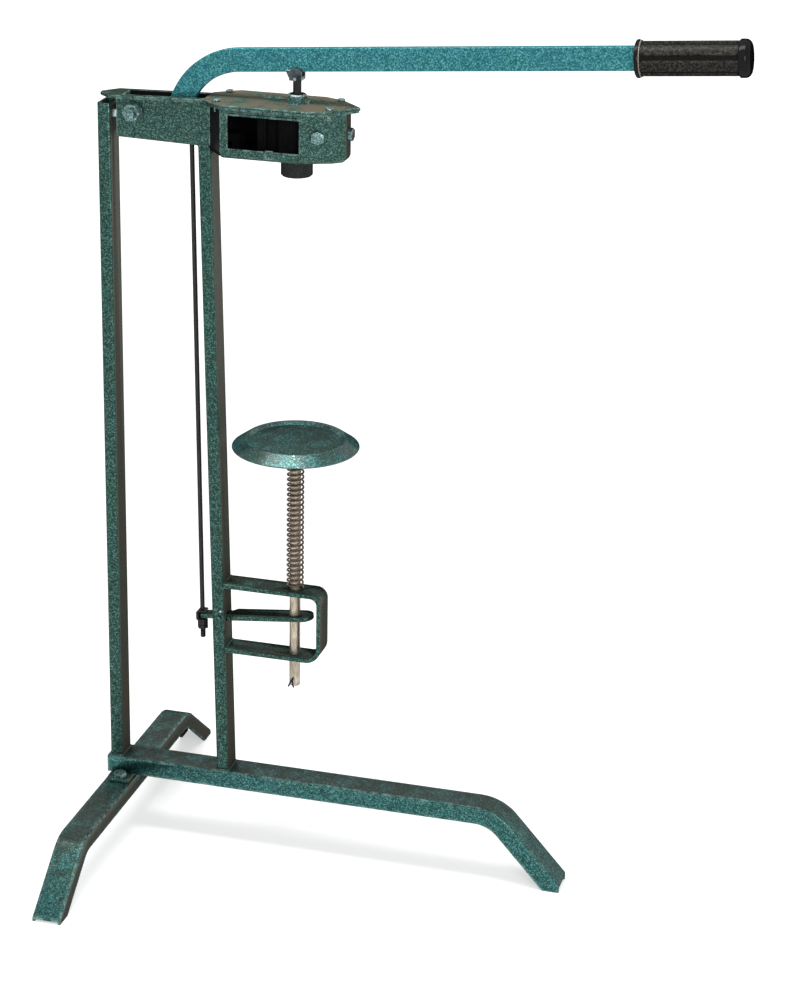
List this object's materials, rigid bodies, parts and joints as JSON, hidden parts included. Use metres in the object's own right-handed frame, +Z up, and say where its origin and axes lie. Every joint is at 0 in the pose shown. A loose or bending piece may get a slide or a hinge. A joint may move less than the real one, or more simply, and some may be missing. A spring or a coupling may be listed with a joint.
{
  "type": "floor corker",
  "caption": "Floor-standing hand corker: lever-driven plunger over closing jaws, with a spring-loaded, self-locking bottle platform.",
  "frame": {"origin": "on the floor, under the middle of the whole machine's box", "axes": "+X forward, from the rear feet to the front toe; +Y to the far side, away from the cork window; +Z up"},
  "size_m": [0.6776, 0.488, 0.9516],
  "materials": {
    "green_paint": "hammertone enamel, teal green, satin",
    "lever_paint": "hammertone enamel, a little bluer, satin",
    "zinc_plate": "bright zinc plate",
    "bright_steel": "turned bar, bright, slightly browned",
    "dark_steel": "oiled dark steel",
    "spring_steel": "drawn spring wire",
    "jaw_steel": "machined, dark",
    "bush_bronze": "plain bronze",
    "grip_rubber": "fluted, dark brown",
    "seal_rubber": "black, matt"
  },
  "bodies": {
    "stand": {"crossbar": "green_paint", "base_bar": "green_paint", "base_lug_plate": "green_paint", "base_bolts": "green_paint", "base_nuts": "green_paint", "rear_post": "green_paint", "front_post": "green_paint", "head_housing": "green_paint", "head_lid": "green_paint", "lid_screws": "green_paint", "facet_bolts": "green_paint", "outlet_collar": "green_paint", "mouth_seal": "seal_rubber", "hanger_bolt": "green_paint", "hanger_nuts": "green_paint", "pivot_bolt": "green_paint", "pivot_nut": "green_paint", "pivot_washers": "green_paint", "rear_jaw": "jaw_steel", "rear_jaw_block": "dark_steel", "jaw_keeper": "dark_steel", "plunger_guide": "green_paint", "fulcrum_pin": "green_paint", "platform_bracket": "green_paint"},
    "lever": {"lever_bar": "lever_paint", "lever_bush": "bush_bronze", "grip_sleeve": "grip_rubber", "grip_cap": "grip_rubber"},
    "plunger_set": {"plunger": "dark_steel", "plunger_stud": "dark_steel", "plunger_saddle": "zinc_plate", "saddle_rivet": "zinc_plate"},
    "slide": {"jaw_slide": "dark_steel", "front_jaw": "jaw_steel"},
    "near_side_jaw": {"near_jaw": "jaw_steel"},
    "far_side_jaw": {"far_jaw": "jaw_steel"},
    "lock_rod_set": {"lock_rod": "dark_steel", "rod_clevis": "dark_steel", "rod_nuts": "dark_steel"},
    "lock_tongue": {"lock_plate": "green_paint"},
    "lift": {"spring_seat": "dark_steel", "platform_spring": "spring_steel"},
    "platform": {"platform_rod": "bright_steel", "platform_dish": "green_paint", "dish_boss": "green_paint", "split_pin": "dark_steel"}
  },
  "joints": [
    {"name": "lever_swing", "type": "hinge", "parent": "stand", "child": "lever", "pos_m": [-0.29576, 0, 0.8314], "axis": [0, -1, 0], "range_deg": [0, 20]},
    {"name": "plunger_stroke", "type": "slide", "parent": "stand", "child": "plunger_set", "axis": [0, 0, 1], "range_m": [0, 0.0688]},
    {"name": "jaw_slide_travel", "type": "slide", "parent": "stand", "child": "slide", "axis": [1, 0, 0], "range_m": [0, 0.00695]},
    {"name": "near_jaw_travel", "type": "slide", "parent": "stand", "child": "near_side_jaw", "axis": [0, -1, 0], "range_m": [0, 0.0045]},
    {"name": "far_jaw_travel", "type": "slide", "parent": "stand", "child": "far_side_jaw", "axis": [0, 1, 0], "range_m": [0, 0.0045]},
    {"name": "lock_rod_travel", "type": "slide", "parent": "stand", "child": "lock_rod_set", "axis": [-0.014, 0, 0.9999], "range_m": [0, 0.00243]},
    {"name": "lock_plate_tilt", "type": "hinge", "parent": "stand", "child": "lock_tongue", "pos_m": [-0.20711, 0, 0.273], "axis": [0, 1, 0], "range_deg": [0, 6.2]},
    {"name": "platform_height", "type": "slide", "parent": "stand", "child": "lift", "axis": [0, 0, 1], "range_m": [-0.054, 0.02], "stiffness_N_per_m": 1228, "springref_m": 0.00509, "deforming": ["platform_spring"]},
    {"name": "platform_turn", "type": "hinge", "parent": "lift", "child": "platform", "pos_m": [-0.12326, 0, 0.47], "axis": [0, 0, 1], "continuous": true}
  ],
  "couplings": [
    {"joint": "plunger_stroke", "follows": "lever_swing", "m_per_rad": 0.19708},
    {"joint": "jaw_slide_travel", "follows": "lever_swing", "m_per_rad": 0.019899},
    {"joint": "near_jaw_travel", "follows": "lever_swing", "m_per_rad": 0.012892},
    {"joint": "far_jaw_travel", "follows": "lever_swing", "m_per_rad": 0.012892},
    {"joint": "lock_rod_travel", "follows": "lever_swing", "m_per_rad": 0.006961},
    {"joint": "lock_plate_tilt", "follows": "lever_swing", "ratio": 0.31}
  ]
}
